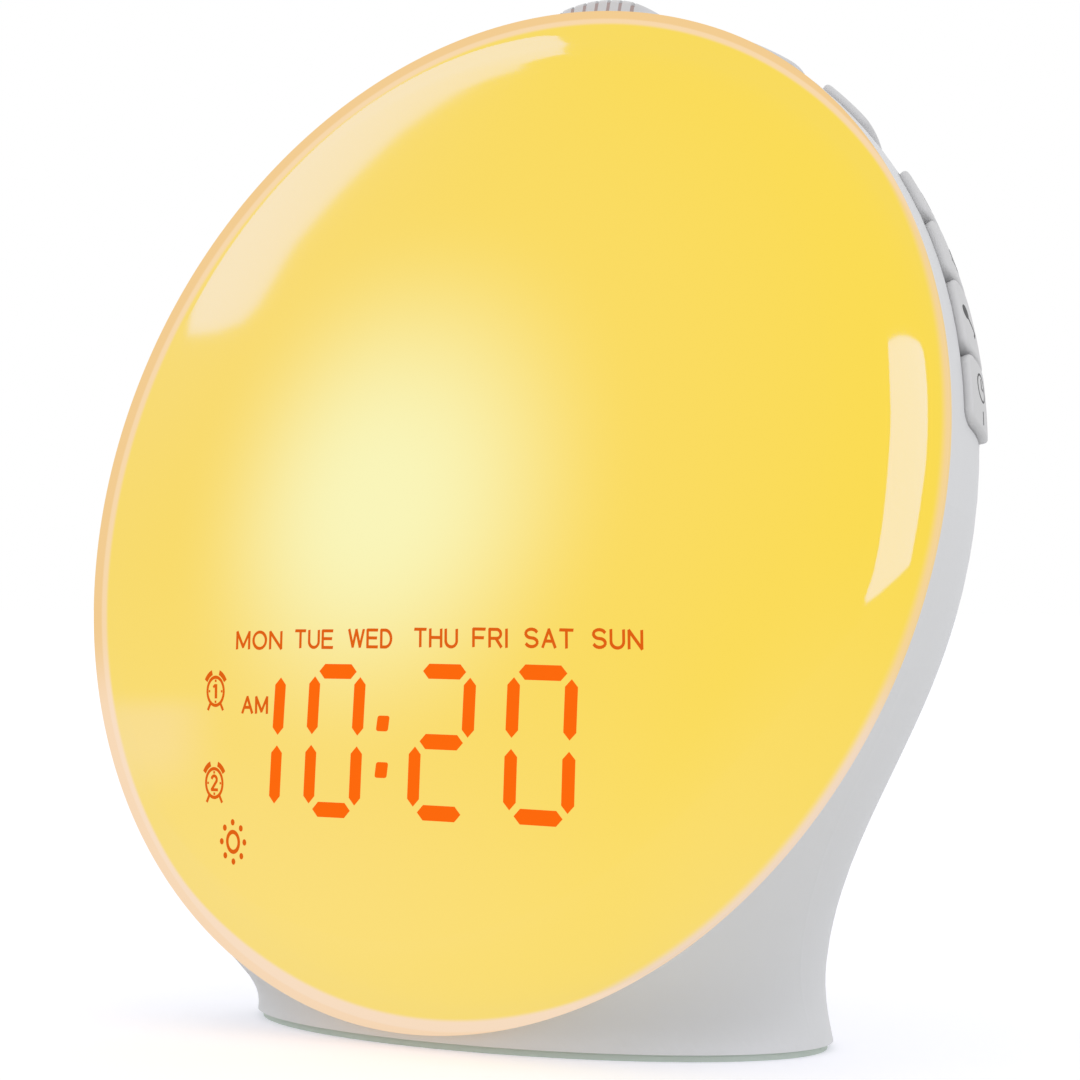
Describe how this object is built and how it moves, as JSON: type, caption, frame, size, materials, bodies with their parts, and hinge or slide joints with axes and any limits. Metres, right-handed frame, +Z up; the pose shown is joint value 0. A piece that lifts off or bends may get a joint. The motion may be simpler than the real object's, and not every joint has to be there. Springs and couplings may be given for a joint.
{
  "type": "sunrise alarm clock",
  "caption": "Round glowing face leaning back on an oval foot, with rows of shoulder keys, a ribbed snooze bar on top and a lit digital clock behind the front.",
  "frame": {"origin": "centre of the foot's resting face, on the table", "axes": "+Z up, the face looks towards -Y and leans back, +X to the right as the viewer sees the face"},
  "size_m": [0.18, 0.0873, 0.1799],
  "materials": {
    "housing": "fine satin",
    "front": "translucent, evenly frosted",
    "pad": "matte",
    "keys": "satin",
    "inner_plastic": "moulded",
    "board": "solder mask",
    "lamp": "clear lens",
    "light_guide": "milky",
    "film": "printed",
    "black_plastic": "moulded",
    "capacitor": "sleeved",
    "steel": "plated",
    "dark_metal": "zinc black",
    "paper": "pressed paper",
    "soft_rubber": "matte",
    "wire": "smooth",
    "ribbon": "flexible"
  },
  "bodies": {
    "clock": {"aerial_grommet": "soft_rubber", "base_pad": "pad", "base_plate": "inner_plastic", "base_screws": "steel", "battery_contact": "steel", "battery_door": "housing", "battery_holder": "inner_plastic", "board_screws": "steel", "capacitors": "capacitor", "case_screws": "steel", "coin_cell": "steel", "dc_jack": "black_plastic", "diffuser": "front", "digit_guides": "light_guide", "display_block": "inner_plastic", "display_board": "board", "display_leds": "lamp", "display_ribbon": "ribbon", "door_screw": "steel", "lamp_board": "board", "lamp_leds": "lamp", "left_key_board": "board", "left_key_carrier": "inner_plastic", "left_switches": "black_plastic", "legend_film": "film", "light_tray": "inner_plastic", "main_board": "board", "main_chips": "black_plastic", "power_wires": "wire", "rear_housing": "housing", "right_key_board": "board", "right_key_carrier": "inner_plastic", "right_switches": "black_plastic", "snooze_board": "board", "snooze_switch": "black_plastic", "speaker_cone": "paper", "speaker_frame": "dark_metal", "speaker_gasket": "soft_rubber", "speaker_magnet": "dark_metal", "speaker_screws": "steel", "speaker_wires": "wire"},
    "right_key_1": {"right_key_1": "keys"},
    "right_key_2": {"right_key_2": "keys"},
    "right_key_3": {"right_key_3": "keys"},
    "right_key_4": {"right_key_4": "keys"},
    "right_key_5": {"right_key_5": "keys"},
    "right_key_6": {"right_key_6": "keys"},
    "left_key_1": {"left_key_1": "keys"},
    "left_key_2": {"left_key_2": "keys"},
    "left_key_3": {"left_key_3": "keys"},
    "left_key_4": {"left_key_4": "keys"},
    "left_key_5": {"left_key_5": "keys"},
    "left_key_6": {"left_key_6": "keys"},
    "snooze_button": {"snooze_button": "keys"}
  },
  "joints": [
    {"name": "right_key_1_press", "type": "slide", "parent": "clock", "child": "right_key_1", "axis": [-0.9742, -0.0573, -0.2184], "range_m": [0, 0.0006], "stiffness_N_per_m": 900},
    {"name": "right_key_2_press", "type": "slide", "parent": "clock", "child": "right_key_2", "axis": [-0.9291, -0.0938, -0.3576], "range_m": [0, 0.0006], "stiffness_N_per_m": 900},
    {"name": "right_key_3_press", "type": "slide", "parent": "clock", "child": "right_key_3", "axis": [-0.8708, -0.1248, -0.4756], "range_m": [0, 0.0006], "stiffness_N_per_m": 900},
    {"name": "right_key_4_press", "type": "slide", "parent": "clock", "child": "right_key_4", "axis": [-0.8028, -0.1513, -0.5767], "range_m": [0, 0.0006], "stiffness_N_per_m": 900},
    {"name": "right_key_5_press", "type": "slide", "parent": "clock", "child": "right_key_5", "axis": [-0.6414, -0.1947, -0.7421], "range_m": [0, 0.0006], "stiffness_N_per_m": 900},
    {"name": "right_key_6_press", "type": "slide", "parent": "clock", "child": "right_key_6", "axis": [-0.454, -0.2261, -0.8618], "range_m": [0, 0.0006], "stiffness_N_per_m": 900},
    {"name": "left_key_1_press", "type": "slide", "parent": "clock", "child": "left_key_1", "axis": [0.9742, -0.0573, -0.2184], "range_m": [0, 0.0006], "stiffness_N_per_m": 900},
    {"name": "left_key_2_press", "type": "slide", "parent": "clock", "child": "left_key_2", "axis": [0.9291, -0.0938, -0.3576], "range_m": [0, 0.0006], "stiffness_N_per_m": 900},
    {"name": "left_key_3_press", "type": "slide", "parent": "clock", "child": "left_key_3", "axis": [0.8708, -0.1248, -0.4756], "range_m": [0, 0.0006], "stiffness_N_per_m": 900},
    {"name": "left_key_4_press", "type": "slide", "parent": "clock", "child": "left_key_4", "axis": [0.8028, -0.1513, -0.5767], "range_m": [0, 0.0006], "stiffness_N_per_m": 900},
    {"name": "left_key_5_press", "type": "slide", "parent": "clock", "child": "left_key_5", "axis": [0.6414, -0.1947, -0.7421], "range_m": [0, 0.0006], "stiffness_N_per_m": 900},
    {"name": "left_key_6_press", "type": "slide", "parent": "clock", "child": "left_key_6", "axis": [0.454, -0.2261, -0.8618], "range_m": [0, 0.0006], "stiffness_N_per_m": 900},
    {"name": "snooze_press", "type": "slide", "parent": "clock", "child": "snooze_button", "axis": [0, -0.2538, -0.9673], "range_m": [0, 0.0008], "stiffness_N_per_m": 1200}
  ]
}
